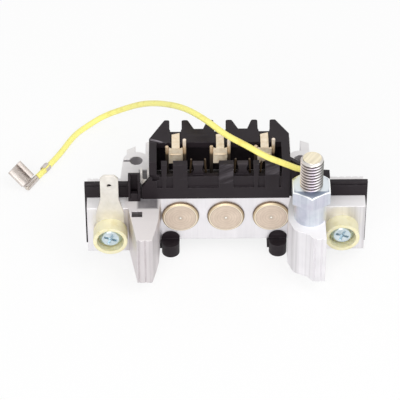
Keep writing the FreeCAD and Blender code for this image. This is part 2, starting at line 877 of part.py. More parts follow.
def lead_wire():
    """Insulated lead from the outlet over the roof and down behind, onto the floor."""
    points = [V(*p) for p in lead_points]
    radii = []
    for i in range(1, len(points) - 1):
        back = points[i - 1] - points[i]
        ahead = points[i + 1] - points[i]
        half_turn = (pi - back.getAngle(ahead)) / 2
        radii.append(0.45 * min(back.Length, ahead.Length) / tan(half_turn))
    tube, length, section = bent_wire(points, lead_d, radii, wire_side_count)
    print("lead radii", [round(r, 1) for r in radii])
    print(f"lead length {length:.2f}, volume {tube.Volume:.2f}, section x length {section * length:.2f}")
    return tube


def sheet_along(points, thickness, side):
    """Section of a bent sheet: the line of its outer face, and the same line moved in by the thickness."""
    inner = []
    for i, point in enumerate(points):
        before = points[max(i - 1, 0)]
        after = points[min(i + 1, len(points) - 1)]
        along = V(after[0] - before[0], after[1] - before[1], 0).normalize()
        inner.append((point[0] - side * along.y * thickness, point[1] + side * along.x * thickness))
    return points + inner[::-1]


def arc_points(x, y, radius, first, last, steps):
    angles = [radians(first + (last - first) * k / steps) for k in range(steps + 1)]
    return [(x + radius * cos(a), y + radius * sin(a)) for a in angles]


def flag_terminal():
    """Receptacle turned up from its barrel: rolled sides, wire crimp and insulation crimp."""
    t = crimp_sheet
    # the barrels' inner flats clear the corners of the wire
    steps = 12
    half_step = radians((360 - barrel_seam) / steps / 2)
    grip_r = lead_d / 2 / cos(half_step) + t
    core_r = lead_core_d / 2 / cos(half_step) + t
    x0 = core_r
    x1 = x0 + flag_depth
    roll = flag_roll_r
    spine = spine_width / 2
    near = flag_start
    far = flag_start + flag_width
    # the receptacle's section across its mouth, drawn in Y and Z and run along X
    section = arc_points(near + roll, roll - core_r, roll, 20, 270, 9)
    section += arc_points(far - roll, roll - core_r, roll, 270, 520, 9)
    mouth = outline(sheet_along(section, t, 1)).extrude(V(0, 0, flag_depth - t))
    mouth.rotate(V(0, 0, 0), V(1, 1, 1), 120)
    mouth.translate(V(x0 + t, 0, 0))
    neck = block(0, x0 + 2 * t, near + roll, far - roll, -core_r, t - core_r)
    # the barrels are sheet rolled nearly shut, with the seam on top
    pieces = [mouth, neck]
    for radius, start, end in ((core_r, near, far - 1.2), (grip_r, -grip_end, grip_length - grip_end)):
        ring = arc_points(0, 0, radius, 90 + barrel_seam / 2, 450 - barrel_seam / 2, steps)
        barrel = outline(sheet_along(ring, t, 1)).extrude(V(0, 0, end - start))
        barrel.rotate(V(0, 0, 0), V(1, 0, 0), 90)
        barrel.translate(V(0, end, 0))
        pieces.append(barrel)
    pieces.append(block(-spine, spine, grip_length - grip_end - t, near + t, -grip_r, -lead_d / 2))
    shape = join(pieces)
    shape.Placement = flag_placement()
    return shape


def lead_core():
    """Bare strands between the end of the insulation and the end of the wire crimp."""
    section = Part.Face(polygon_wire(V(0, 0, 0), V(0, 1, 0), lead_core_d, wire_side_count))
    core = section.extrude(V(0, flag_start + flag_width - 0.8, 0))
    core.Placement = flag_placement()
    return core


def flag_placement():
    """Barrel along the end of the lead, receptacle turned up from the floor by the tilt."""
    end = V(*lead_points[-1])
    barrel = (end - V(*lead_points[-2])).normalize()
    sideways = V(barrel.y, -barrel.x, 0).normalize()
    mouth = sideways * cos(radians(flag_tilt)) + V(0, 0, 1) * sin(radians(flag_tilt))
    return FreeCAD.Placement(end, FreeCAD.Rotation(mouth, barrel, mouth.cross(barrel), "YXZ"))


save("front_heatsink", [front_heatsink()])
save("heatsink_insulator", [heatsink_insulator()])
save("rear_heatsink", [rear_heatsink()])
for number, (x, terminal) in enumerate(zip(diode_x, terminal_x), 1):
    front_lead = positive_lead(x, terminal + lead_offset_x)
    save(f"positive_diode_{number}", [press_diode(x, 0, 1, diode_edge, front_lead)])
    axis_x = terminal - lead_offset_x
    back_y = rear_web_y + rear_web_thickness
    save(f"negative_diode_{number}", [press_diode(axis_x, back_y, -1, 0, negative_lead(axis_x))])
    save(f"phase_terminal_{number}", [phase_terminal(terminal)])
trio_seats = [(x, saddle_back_y) for x in saddle_x] + [(terminal_x[2] + 1.2, post_back_y)]
for number, (x, seat_y) in enumerate(trio_seats, 1):
    save(f"trio_diode_{number}", [trio_diode(x, seat_y)])
save("terminal_housing", [terminal_housing()])
save("link_strip", [link_strip()])
save("output_stud", [output_stud()])
save("blade_terminal", [blade_terminal()])
bush_seats = [-lug_thickness - blade_sheet, -lug_thickness]
for name, x, seat in zip(("bush_left", "bush_right"), clamp_x, bush_seats):
    save(name, [bush(x, seat)])
save("clamp_screws", [clamp_screw(x, seat) for x, seat in zip(clamp_x, bush_seats)])
save("lead_wire", [lead_wire()])
save("lead_core", [lead_core()])
save("flag_terminal", [flag_terminal()])
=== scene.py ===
from math import cos, pi, radians, sin, sqrt, tan

import bmesh
import bpy
from mathutils import Matrix, Vector


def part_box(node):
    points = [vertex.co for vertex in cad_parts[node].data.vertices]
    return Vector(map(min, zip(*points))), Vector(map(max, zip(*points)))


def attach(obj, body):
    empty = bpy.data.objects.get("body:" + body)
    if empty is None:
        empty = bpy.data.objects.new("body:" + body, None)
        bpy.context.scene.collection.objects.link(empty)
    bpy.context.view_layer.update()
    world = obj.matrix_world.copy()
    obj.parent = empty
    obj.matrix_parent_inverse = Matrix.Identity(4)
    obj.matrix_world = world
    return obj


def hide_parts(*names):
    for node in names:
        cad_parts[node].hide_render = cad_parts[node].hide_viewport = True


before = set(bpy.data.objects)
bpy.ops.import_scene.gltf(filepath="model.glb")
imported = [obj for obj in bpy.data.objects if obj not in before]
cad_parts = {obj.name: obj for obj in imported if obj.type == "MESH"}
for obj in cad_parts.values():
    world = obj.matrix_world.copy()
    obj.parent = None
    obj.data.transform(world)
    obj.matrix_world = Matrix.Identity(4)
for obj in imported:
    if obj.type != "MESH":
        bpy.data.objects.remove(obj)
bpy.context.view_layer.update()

mm = 0.001
shift = Vector((2.35, -19.5, 0.0))  # from the diode datum to the midpoint of the fixing holes


def place(x, y, z):
    return (Vector((x, y, z)) + shift) * mm


# the photograph's view: from the front, well above, through a long lens; millimetres from the diode datum
cameraSettings = {
    "lookAt": (-9.12, 0.0, 23.42),
    "distance": 850.0,
    "elevation": 42.0,
    "azimuth": -0.75,
    "lens": 218.0,
    "sensor": 36.0,
    "clip": (0.05, 20.0),
}


def makeCamera(s):
    data = bpy.data.cameras.new("photoCamera")
    data.lens = s["lens"]
    data.sensor_width = s["sensor"]
    data.clip_start, data.clip_end = s["clip"]
    camera = bpy.data.objects.new("photoCamera", data)
    bpy.context.scene.collection.objects.link(camera)
    up = radians(s["elevation"])
    turn = radians(s["azimuth"])
    away = Vector((sin(turn) * cos(up), -cos(turn) * cos(up), sin(up)))
    camera.location = place(*s["lookAt"]) + away * s["distance"] * mm
    camera.rotation_euler = (-away).to_track_quat("-Z", "Y").to_euler()
    bpy.context.scene.camera = camera


makeCamera(cameraSettings)
print("camera placed")


# small helpers for node trees

def newMaterial(name):
    material = bpy.data.materials.new(name)
    material.use_nodes = True
    tree = material.node_tree
    tree.nodes.clear()
    output = tree.nodes.new("ShaderNodeOutputMaterial")
    shader = tree.nodes.new("ShaderNodeBsdfPrincipled")
    tree.links.new(shader.outputs["BSDF"], output.inputs["Surface"])
    return material, tree, shader


def newGroup(name, inputs, outputs):
    group = bpy.data.node_groups.new(name, "ShaderNodeTree")
    for label, kind, value in inputs:
        socket = group.interface.new_socket(name=label, in_out="INPUT", socket_type="NodeSocket" + kind)
        if value is not None:
            socket.default_value = value
    for label, kind in outputs:
        group.interface.new_socket(name=label, in_out="OUTPUT", socket_type="NodeSocket" + kind)
    return group, group.nodes.new("NodeGroupInput"), group.nodes.new("NodeGroupOutput")


def addNode(tree, kind, inputs=None, **settings):
    node = tree.nodes.new("ShaderNode" + kind)
    for key, value in settings.items():
        setattr(node, key, value)
    for key, value in (inputs or {}).items():
        if isinstance(value, bpy.types.NodeSocket):
            tree.links.new(value, node.inputs[key])
        else:
            node.inputs[key].default_value = value
    return node


def addGroup(tree, group, **inputs):
    node = tree.nodes.new("ShaderNodeGroup")
    node.node_tree = group
    for key, value in inputs.items():
        socket = node.inputs[key[0].upper() + key[1:]]
        if isinstance(value, bpy.types.NodeSocket):
            tree.links.new(value, socket)
        else:
            socket.default_value = value
    return node


def addRamp(tree, value, stops):
    ramp = addNode(tree, "ValToRGB", {"Fac": value})
    elements = ramp.color_ramp.elements
    elements.remove(elements[1])
    for i, (position, color) in enumerate(stops):
        element = elements[0] if i == 0 else elements.new(position)
        element.position = position
        element.color = (*color, 1)
    return ramp.outputs["Color"]


def objectCoords(tree, move=(0, 0, 0), turn=(0, 0, 0)):
    coords = addNode(tree, "TexCoord")
    mapping = addNode(tree, "Mapping", {"Vector": coords.outputs["Object"], "Location": move, "Rotation": turn})
    return mapping.outputs["Vector"]


def calculate(tree, operation, *values, kind="Math", **settings):
    return addNode(tree, kind, dict(enumerate(values)), operation=operation, **settings).outputs[0]


def times(tree, first, second):
    return calculate(tree, "MULTIPLY", first, second)


def between(tree, value, low, high, first=0.0, last=1.0):
    # first below the low limit, last above the high one
    spread = addNode(tree, "MapRange", {"Value": value, "From Min": low, "From Max": high,
                                        "To Min": first, "To Max": last})
    return spread.outputs["Result"]


def blendValues(tree, mask, first, second):
    return between(tree, mask, 0.0, 1.0, first, second)


def blendColors(tree, mask, first, second, mode="MIX"):
    mix = addNode(tree, "Mix", data_type="RGBA", blend_type=mode)
    for index, value in ((0, mask), (6, first), (7, second)):
        if isinstance(value, bpy.types.NodeSocket):
            tree.links.new(value, mix.inputs[index])
        else:
            mix.inputs[index].default_value = value if index == 0 else (*value, 1)
    return mix.outputs[2]


def axesOf(tree, vector):
    return addNode(tree, "SeparateXYZ", {0: vector}).outputs


def upwardFacing(tree):
    return axesOf(tree, addNode(tree, "TexCoord").outputs["Normal"])["Z"]


def bumpOver(tree, height, strength, distance, normal=None):
    inputs = {"Height": height, "Strength": strength, "Distance": distance}
    if normal is not None:
        inputs["Normal"] = normal
    return addNode(tree, "Bump", inputs).outputs["Normal"]


def grainNormal(tree, coords, s, normal=None):
    scale, detail = s["grain"]
    grain = addNode(tree, "TexNoise", {"Vector": coords, "Scale": scale, "Detail": detail})
    return bumpOver(tree, grain.outputs["Fac"], *s["bump"], normal)


def connectShader(tree, shader, color, rough, metal, normal=None):
    for label, value in (("Base Color", color), ("Roughness", rough), ("Metallic", metal), ("Normal", normal)):
        if isinstance(value, bpy.types.NodeSocket):
            tree.links.new(value, shader.inputs[label])
        elif value is not None:
            shader.inputs[label].default_value = value


# shared effects

def makeCloudsGroup():
    group, entry, leave = newGroup(
        "softClouds", [("Vector", "Vector", None), ("Size", "Float", 200.0), ("Contrast", "Float", 1.0)],
        [("Mask", "Float")])
    noise = addNode(group, "TexNoise", {"Vector": entry.outputs["Vector"], "Scale": entry.outputs["Size"],
                                        "Detail": 4.0, "Roughness": 0.6})
    centred = calculate(group, "SUBTRACT", noise.outputs["Fac"], 0.5)
    spread = calculate(group, "MULTIPLY_ADD", centred, entry.outputs["Contrast"], 0.5, use_clamp=True)
    group.links.new(spread, leave.inputs["Mask"])
    return group


def makeDrawnLinesGroup():
    # lines left along a drawn or sawn surface: noise squeezed across them
    group, entry, leave = newGroup(
        "drawnLines",
        [("Vector", "Vector", None), ("Size", "Float", 900.0), ("Stretch", "Vector", (1.0, 1.0, 0.02))],
        [("Mask", "Float")])
    squeezed = calculate(group, "MULTIPLY", entry.outputs["Vector"], entry.outputs["Stretch"], kind="VectorMath")
    fine = addNode(group, "TexNoise", {"Vector": squeezed, "Scale": entry.outputs["Size"],
                                       "Detail": 3.0, "Roughness": 0.65})
    coarseSize = times(group, entry.outputs["Size"], 0.22)
    coarse = addNode(group, "TexNoise", {"Vector": squeezed, "Scale": coarseSize, "Detail": 2.0})
    both = calculate(group, "ADD", fine.outputs["Fac"], coarse.outputs["Fac"])
    group.links.new(times(group, both, 0.5), leave.inputs["Mask"])
    return group


def makeEdgeWearGroup():
    # mask on sharp edges, broken up, and the rounded normal itself
    group, entry, leave = newGroup(
        "edgeWear",
        [("Vector", "Vector", None), ("Radius", "Float", 0.0003), ("Break up", "Float", 600.0)],
        [("Mask", "Float"), ("Normal", "Vector")])
    rounded = addNode(group, "Bevel", {"Radius": entry.outputs["Radius"]}, samples=6)
    geometry = addNode(group, "NewGeometry")
    facing = addNode(group, "VectorMath", {0: rounded.outputs["Normal"], 1: geometry.outputs["Normal"]},
                     operation="DOT_PRODUCT")
    away = calculate(group, "SUBTRACT", 1.0, facing.outputs["Value"])
    strong = calculate(group, "MULTIPLY", away, 6.0, use_clamp=True)
    noise = addNode(group, "TexNoise", {"Vector": entry.outputs["Vector"], "Scale": entry.outputs["Break up"],
                                        "Detail": 3.0})
    broken = between(group, noise.outputs["Fac"], 0.4, 0.62)
    group.links.new(times(group, strong, broken), leave.inputs["Mask"])
    group.links.new(rounded.outputs["Normal"], leave.inputs["Normal"])
    return group


def makeRingsGroup():
    # fine turned rings round the Y axis of the mapped coordinates, in millimetres from it
    group, entry, leave = newGroup(
        "turnedRings", [("Vector", "Vector", None), ("Pitch", "Float", 0.35)],
        [("Radius", "Float"), ("Mask", "Float")])
    flat = calculate(group, "MULTIPLY", entry.outputs["Vector"], (1.0, 0.0, 1.0), kind="VectorMath")
    length = addNode(group, "VectorMath", {0: flat}, operation="LENGTH")
    radius = times(group, length.outputs["Value"], 1000.0)
    turns = calculate(group, "DIVIDE", radius, entry.outputs["Pitch"])
    wave = calculate(group, "SINE", times(group, turns, 2 * pi))
    group.links.new(radius, leave.inputs["Radius"])
    group.links.new(calculate(group, "MULTIPLY_ADD", wave, 0.5, 0.5), leave.inputs["Mask"])
    return group


def makeBoxMaskGroup():
    # 1 inside the box between two corners, falling off over the soft distance
    group, entry, leave = newGroup(
        "boxMask",
        [("Vector", "Vector", None), ("Low", "Vector", (0.0, 0.0, 0.0)), ("High", "Vector", (0.01, 0.01, 0.01)),
         ("Soft", "Float", 0.0003)],
        [("Mask", "Float")])
    over = calculate(group, "SUBTRACT", entry.outputs["Vector"], entry.outputs["Low"], kind="VectorMath")
    under = calculate(group, "SUBTRACT", entry.outputs["High"], entry.outputs["Vector"], kind="VectorMath")
    depths = axesOf(group, calculate(group, "MINIMUM", over, under, kind="VectorMath"))
    least = calculate(group, "MINIMUM", depths["X"], depths["Y"])
    least = calculate(group, "MINIMUM", least, depths["Z"])
    scaled = calculate(group, "DIVIDE", least, entry.outputs["Soft"])
    group.links.new(calculate(group, "ADD", scaled, 0.5, use_clamp=True), leave.inputs["Mask"])
    return group


clouds = makeCloudsGroup()
drawnLines = makeDrawnLinesGroup()
edgeWear = makeEdgeWearGroup()
turnedRings = makeRingsGroup()
boxMask = makeBoxMaskGroup()
print("shared effects built")


# in the settings, patches are a size and a contrast, lines a size and a stretch,
# grain a size and a detail, bump a strength and a distance in metres, boxes two corners in datum millimetres

def addPatches(tree, coords, size, contrast):
    return addGroup(tree, clouds, vector=coords, size=size, contrast=contrast).outputs["Mask"]


def addLines(tree, coords, size, stretch):
    return addGroup(tree, drawnLines, vector=coords, size=size, stretch=stretch).outputs["Mask"]


def inBox(tree, coords, box, soft):
    low, high = box
    return addGroup(tree, boxMask, vector=coords, low=place(*low), high=place(*high), soft=soft).outputs["Mask"]


# aluminium: extruded along Z, sawn across; the sawn ends are brighter with saw lines along X
aluminiumSettings = {
    "shared": {
        "lines": (1100.0, (1.0, 1.0, 0.03)), "saw": (1500.0, (0.05, 1.0, 1.0)), "sawAmount": 0.4,
        "patches": (170.0, 2.2), "patchAmount": 0.35, "cutFacing": (0.7, 0.9), "sawnRough": 0.75,
        "deepLines": (480.0, (1.0, 1.0, 0.01)), "deepLimits": (0.46, 0.6), "deepAmount": 0.55,
        "deepAhead": (-0.0215, -0.026), "deepElsewhere": 0.15, "scratch": (0.5, 0.48, 0.49),
        "paintedShadeSoft": 0.0009, "paintedShadeAmount": (1.0, 0.7), "leftShadeSoft": 0.001,
        "edge": (0.97, 0.97, 0.97), "edgeRadius": 0.00035, "edgeAmount": 0.5, "bump": (0.22, 0.0001),
    },
    "front": {
        "dark": (0.74, 0.72, 0.75), "bright": (0.98, 0.96, 0.98), "sawn": (0.93, 0.91, 0.91),
        "rough": (0.36, 0.56), "sawnMetal": 0.15,
        # painted reflection and shade: the black moulding darkens the top of the left column next to it
        "paintedShade": (0.15, 0.14, 0.155), "paintedShadeBox": ((-31.0, -6.0, 24.5), (-23.9, 0.5, 27.0)),
        # painted shade: the whole left column multiplied a little greyer
        "leftShade": (0.84, 0.81, 0.8), "leftShadeBox": ((-35.5, -24.0, 3.0), (-23.4, -1.5, 27.0)),
    },
    "rear": {
        "dark": (0.64, 0.62, 0.63), "bright": (0.91, 0.89, 0.9), "sawn": (0.92, 0.9, 0.9),
        "rough": (0.42, 0.6), "sawnMetal": 0.3,
        # painted shade under the housing and behind the hook; at the hook the dark also stands in for black
        # moulding the model lacks
        "paintedShade": (0.035, 0.03, 0.03), "paintedShadeBox": ((-30.5, 4.0, 10.0), (21.0, 14.45, 27.0)),
    },
}


def makeAluminium(name, side):
    s = {**aluminiumSettings["shared"], **aluminiumSettings[side]}
    material, tree, shader = newMaterial(name)
    coords = objectCoords(tree)
    lines = addLines(tree, coords, *s["lines"])
    saw = addLines(tree, coords, *s["saw"])
    patches = addPatches(tree, coords, *s["patches"])
    wear = addGroup(tree, edgeWear, vector=coords, radius=s["edgeRadius"])
    cut = between(tree, calculate(tree, "ABSOLUTE", upwardFacing(tree)), *s["cutFacing"])
    sides = blendColors(tree, lines, s["dark"], s["bright"])
    sides = blendColors(tree, times(tree, patches, s["patchAmount"]), sides, s["bright"])
    ends = blendColors(tree, times(tree, saw, s["sawAmount"]), s["sawn"], s["dark"])
    # deep draw lines, strongest on the fronts of the columns
    deep = between(tree, addLines(tree, coords, *s["deepLines"]), *s["deepLimits"], 0.0, s["deepAmount"])
    ahead = between(tree, axesOf(tree, coords)["Y"], *s["deepAhead"], s["deepElsewhere"], 1.0)
    sides = blendColors(tree, times(tree, deep, ahead), sides, s["scratch"])
    color = blendColors(tree, cut, sides, ends)
    # painted shade and reflection of the black moulding: darkened in a box, mottled by the patches
    paintedShadeMask = times(tree, inBox(tree, coords, s["paintedShadeBox"], s["paintedShadeSoft"]),
                    blendValues(tree, patches, *s["paintedShadeAmount"]))
    color = blendColors(tree, paintedShadeMask, color, s["paintedShade"])
    # painted shade: the left column made a little greyer, for the weaker light on its side
    if "leftShade" in s:
        leftShadeMask = inBox(tree, coords, s["leftShadeBox"], s["leftShadeSoft"])
        color = blendColors(tree, leftShadeMask, color, s["leftShade"], mode="MULTIPLY")
    color = blendColors(tree, times(tree, wear.outputs["Mask"], s["edgeAmount"]), color, s["edge"])
    rough = blendValues(tree, patches, *s["rough"])
    rough = addNode(tree, "Mix", {0: cut, 2: rough, 3: s["sawnRough"]}, data_type="FLOAT").outputs[0]
    height = addNode(tree, "Mix", {0: cut, 2: lines, 3: saw}, data_type="FLOAT").outputs[0]
    normal = bumpOver(tree, height, *s["bump"], wear.outputs["Normal"])
    connectShader(tree, shader, color, rough, blendValues(tree, cut, 1.0, s["sawnMetal"]), normal)
    return material


# black moulded plastic: fine matt grain and grey scuffs, paler along its edges
blackSettings = {
    "color": (0.0115, 0.007, 0.0098),
    "scuff": (0.085, 0.074, 0.084),
    "scratch": (0.3, 0.27, 0.3),
    "saddleSheen": (0.1, 0.082, 0.09),
    "rough": (0.46, 0.66),
    "specular": 0.3,
    "patches": (120.0, 2.0),
    "scuffLines": (420.0, (0.25, 1.0, 1.0)),
    "scuffLimits": (0.56, 0.72),
    "scuffAmount": 0.5,
    "edgeRadius": 0.0003,
    "edgeAmount": 0.6,
    "rubLines": (700.0, (0.12, 1.0, 1.0)),
    "rubTurn": (0, 0.45, 0),
    "rubLimits": (0.42, 0.62),
    "rubSoft": 0.0006,
    "rubBoxes": [((-2.6, -1.5, 32.0), (2.6, -0.5, 41.0)), ((13.6, -1.5, 36.0), (19.0, -0.5, 41.0))],
    # painted sheen on the saddles, in boxes at their tops
    "saddleSheenSoft": 0.003,
    "saddleSheenBoxes": [((-12.0, -2.0, 40.0), (-7.4, 6.0, 42.5)), ((3.9, -2.0, 40.0), (8.4, 6.0, 42.5))],
    "scratchLines": (900.0, (0.06, 1.0, 1.0)),
    "scratchTurn": (0, 0, 0.35),
    "scratchLimits": (0.6, 0.66),
    "scratchSoft": 0.0012,
    "scratchBox": ((-26.5, 9.5, 41.0), (-20.0, 16.0, 43.0)),
    "grain": (2600.0, 2.0),
    "bump": (0.25, 0.00008),
}


def makeBlack(name, s):
    material, tree, shader = newMaterial(name)
    coords = objectCoords(tree)
    patches = addPatches(tree, coords, *s["patches"])
    scuffed = between(tree, addLines(tree, coords, *s["scuffLines"]), *s["scuffLimits"])
    scuffed = times(tree, times(tree, scuffed, patches), s["scuffAmount"])
    wear = addGroup(tree, edgeWear, vector=coords, radius=s["edgeRadius"])
    color = blendColors(tree, scuffed, s["color"], s["scuff"])
    # posts rubbed across at a slant
    strokes = addLines(tree, objectCoords(tree, turn=s["rubTurn"]), *s["rubLines"])
    strokes = between(tree, strokes, *s["rubLimits"])
    for box in s["rubBoxes"]:
        rubbed = times(tree, inBox(tree, coords, box, s["rubSoft"]), strokes)
        color = blendColors(tree, rubbed, color, s["scuff"])
    # painted sheen: the saddles lighter towards their tops, for their glossy highlights
    for box in s["saddleSheenBoxes"]:
        color = blendColors(tree, inBox(tree, coords, box, s["saddleSheenSoft"]), color, s["saddleSheen"])
    # thin scratches on the left of the roof
    scratches = addLines(tree, objectCoords(tree, turn=s["scratchTurn"]), *s["scratchLines"])
    scratches = between(tree, scratches, *s["scratchLimits"])
    scratched = times(tree, inBox(tree, coords, s["scratchBox"], s["scratchSoft"]), scratches)
    color = blendColors(tree, scratched, color, s["scratch"])
    color = blendColors(tree, times(tree, wear.outputs["Mask"], s["edgeAmount"]), color, s["scuff"])
    shader.inputs["Specular IOR Level"].default_value = s["specular"]
    normal = grainNormal(tree, coords, s, wear.outputs["Normal"])
    connectShader(tree, shader, color, blendValues(tree, patches, *s["rough"]), 0.0, normal)
    return material


# plated and bare metals: one recipe, with its own colours
metalSettings = {
    "shared": {
        "contrast": 2.4, "tintMove": (0.3, 0.1, 0.2), "tintScale": 0.6, "tintContrast": 2.6, "tintAmount": 0.3,
        "edgeRadius": 0.00018, "edgeAmount": 0.6, "bump": (0.2, 0.00006),
    },
    "zincPlate": {
        "low": (0.5, 0.58, 0.63), "high": (0.86, 0.92, 0.96), "warm": (0.42, 0.66, 0.74),
        "rough": (0.22, 0.42), "metal": 1.0, "size": 420.0, "grain": (2200.0, 3.0),
    },
    "tinnedBrass": {
        "low": (0.84, 0.69, 0.5), "high": (0.95, 0.85, 0.69), "warm": (0.5, 0.34, 0.19),
        # a brown edge line: painted shade along the folds and edges
        "edge": (0.42, 0.28, 0.15), "edgeRadius": 0.00025,
        "rough": (0.36, 0.55), "metal": 0.2, "size": 760.0, "grain": (2600.0, 3.0),
    },
    "tinnedSheet": {
        "low": (0.72, 0.69, 0.64), "high": (0.89, 0.86, 0.82), "warm": (0.78, 0.72, 0.61),
        # a brown edge line: painted shade along the folds and edges
        "edge": (0.6, 0.5, 0.37), "edgeRadius": 0.00025,
        "rough": (0.4, 0.58), "metal": 0.8, "size": 300.0, "grain": (2400.0, 3.0),
    },
    "brightTin": {
        "low": (0.5, 0.45, 0.42), "high": (0.77, 0.72, 0.69), "warm": (0.5, 0.41, 0.34),
        "rough": (0.42, 0.6), "metal": 0.6, "size": 300.0, "grain": (2600.0, 3.0),
    },
    "tinnedWire": {
        "low": (0.6, 0.56, 0.5), "high": (0.86, 0.82, 0.76), "warm": (0.7, 0.55, 0.4),
        "rough": (0.25, 0.45), "metal": 1.0, "size": 500.0, "grain": (3200.0, 3.0),
    },
}


def makeMetal(name):
    s = {**metalSettings["shared"], **metalSettings[name]}
    material, tree, shader = newMaterial(name)
    coords = objectCoords(tree)
    patches = addPatches(tree, coords, s["size"], s["contrast"])
    tints = addPatches(tree, objectCoords(tree, move=s["tintMove"]), s["size"] * s["tintScale"], s["tintContrast"])
    wear = addGroup(tree, edgeWear, vector=coords, radius=s["edgeRadius"])
    color = blendColors(tree, patches, s["low"], s["high"])
    color = blendColors(tree, times(tree, tints, s["tintAmount"]), color, s["warm"])
    # sharp edges take the edge colour: the high colour as wear on most metals, a brown line of painted shade on
    # the tinned ones
    color = blendColors(tree, times(tree, wear.outputs["Mask"], s["edgeAmount"]), color, s.get("edge", s["high"]))
    normal = grainNormal(tree, coords, s, wear.outputs["Normal"])
    connectShader(tree, shader, color, blendValues(tree, patches, *s["rough"]), s["metal"], normal)
    return material


# diode: nickel cap with faint turned rings round its own axis, a centre mark, a tan broken edge, a painted
# highlight band inside that edge and painted shadow in the gap round the cap;
# behind the can its lead, light at the tip and dark low down: painted shade inside the housing, taken also as
# browned metal. Radii in millimetres with their soft width
capSettings = {
    "low": (0.66, 0.54, 0.44),
    "high": (0.83, 0.71, 0.6),
    "line": (0.52, 0.41, 0.32),
    "rimGlint": (0.86, 0.77, 0.64),
    "edge": (0.7, 0.58, 0.4),
    "gap": (0.2, 0.14, 0.09),
    "mark": (1.0, 0.99, 0.95),
    "zones": [("line", 5.3, 0.06), ("rimGlint", 5.5, 0.06), ("edge", 5.9, 0.05), ("gap", 6.36, 0.08)],
    "markRadius": (0.36, 0.08),
    "haloLimits": (0.5, 1.1),
    "haloAmount": 0.35,
    "ringPitch": 0.92,
    "ringLimits": (0.7, 1.0),
    "ringAmount": 0.32,
    "patches": (420.0, 1.8),
    "rough": (0.42, 0.6),
    "bump": (0.25, 0.00006),
    "wires": [(0.0, (0.06, 0.045, 0.035)), (0.45, (0.1, 0.07, 0.045)), (0.55, (0.6, 0.42, 0.25)),
              (0.8, (0.72, 0.55, 0.38)), (0.93, (0.9, 0.77, 0.64))],
    "wireBehind": (0.0061, 0.0062),
    "wireHeights": (0.0175, 0.0275),
    "wireMetal": 0.3,
}


def makeCap(name, axis, facing, s):
    material, tree, shader = newMaterial(name)
    coords = objectCoords(tree, move=tuple(-v for v in axis))
    rings = addGroup(tree, turnedRings, vector=coords, pitch=s["ringPitch"])
    radius = rings.outputs["Radius"]

    def beyond(limit, soft):
        return between(tree, radius, limit - soft, limit + soft)

    patches = addPatches(tree, coords, *s["patches"])
    color = blendColors(tree, patches, s["low"], s["high"])
    lines = between(tree, rings.outputs["Mask"], *s["ringLimits"], 0.0, s["ringAmount"])
    color = blendColors(tree, lines, color, s["line"])
    halo = between(tree, radius, *s["haloLimits"], s["haloAmount"], 0.0)
    color = blendColors(tree, halo, color, s["gap"])
    color = blendColors(tree, beyond(*s["markRadius"]), s["mark"], color)
    # zones outward: a darker line, a painted highlight band, the tan edge, painted shadow in the gap
    for tone, limit, soft in s["zones"]:
        color = blendColors(tree, beyond(limit, soft), color, s[tone])
    spot = axesOf(tree, coords)
    # painted shade: the lead dark low down inside the housing, where it is also taken as browned, light at the tip
    wire = between(tree, times(tree, spot["Y"], facing), *s["wireBehind"])
    color = blendColors(tree, wire, color, addRamp(tree, between(tree, spot["Z"], *s["wireHeights"]), s["wires"]))
    normal = bumpOver(tree, rings.outputs["Mask"], *s["bump"])
    connectShader(tree, shader, color, blendValues(tree, patches, *s["rough"]),
                  blendValues(tree, wire, 1.0, s["wireMetal"]), normal)
    return material


# nylon of the bushes: cream, slightly translucent, dirtier in patches
nylonSettings = {
    "clean": (0.78, 0.735, 0.5), "dirty": (0.64, 0.57, 0.28), "rough": (0.35, 0.5), "patches": (300.0, 2.6),
    "dirtLimits": (0.55, 0.95), "dirtAmount": 0.5, "edgeRadius": 0.0003,
    "scatter": 0.25, "scatterRadius": (1.0, 0.9, 0.5), "scatterScale": 0.0008,
    "grain": (1800.0, 2.0), "bump": (0.15, 0.00006),
}


def makeNylon(name, s):
    material, tree, shader = newMaterial(name)
    coords = objectCoords(tree)
    patches = addPatches(tree, coords, *s["patches"])
    dirt = between(tree, patches, *s["dirtLimits"], 0.0, s["dirtAmount"])
    wear = addGroup(tree, edgeWear, vector=coords, radius=s["edgeRadius"])
    shader.inputs["Subsurface Weight"].default_value = s["scatter"]
    shader.inputs["Subsurface Radius"].default_value = s["scatterRadius"]
    shader.inputs["Subsurface Scale"].default_value = s["scatterScale"]
    color = blendColors(tree, dirt, s["clean"], s["dirty"])
    normal = grainNormal(tree, coords, s, wear.outputs["Normal"])
    connectShader(tree, shader, color, blendValues(tree, patches, *s["rough"]), 0.0, normal)
    return material


# insulation of the lead: yellow, smooth, with faint dirt in patches, and darker from the middle of the roof on
# towards the outlet
insulationSettings = {
    "clean": (0.97, 0.91, 0.27), "dirty": (0.68, 0.53, 0.09), "rough": (0.35, 0.5), "patches": (240.0, 2.4),
    "dirtLimits": (0.6, 1.0), "dirtAmount": 0.4, "innerX": (-8.0, 6.0), "innerAmount": 0.36,
    "grain": (1500.0, 2.0), "bump": (0.12, 0.00006),
}


def makeInsulation(name, s):
    material, tree, shader = newMaterial(name)
    coords = objectCoords(tree)
    patches = addPatches(tree, coords, *s["patches"])
    dirt = between(tree, patches, *s["dirtLimits"], 0.0, s["dirtAmount"])
    # darker from the middle of the roof on towards the outlet
    low, high = (place(x, 0, 0).x for x in s["innerX"])
    inner = between(tree, axesOf(tree, coords)["X"], low, high, 0.0, s["innerAmount"])
    color = blendColors(tree, calculate(tree, "ADD", dirt, inner), s["clean"], s["dirty"])
    connectShader(tree, shader, color, blendValues(tree, patches, *s["rough"]), 0.0, grainNormal(tree, coords, s))
    return material


# link strip: near black inside the housing, painted shade there, and tinned bright where its hook comes out
linkSettings = {"low": (0.03, 0.028, 0.026), "high": (0.06, 0.055, 0.05), "metal": 0.5,
                "wallX": -26.6, "wallSoft": 0.0006}


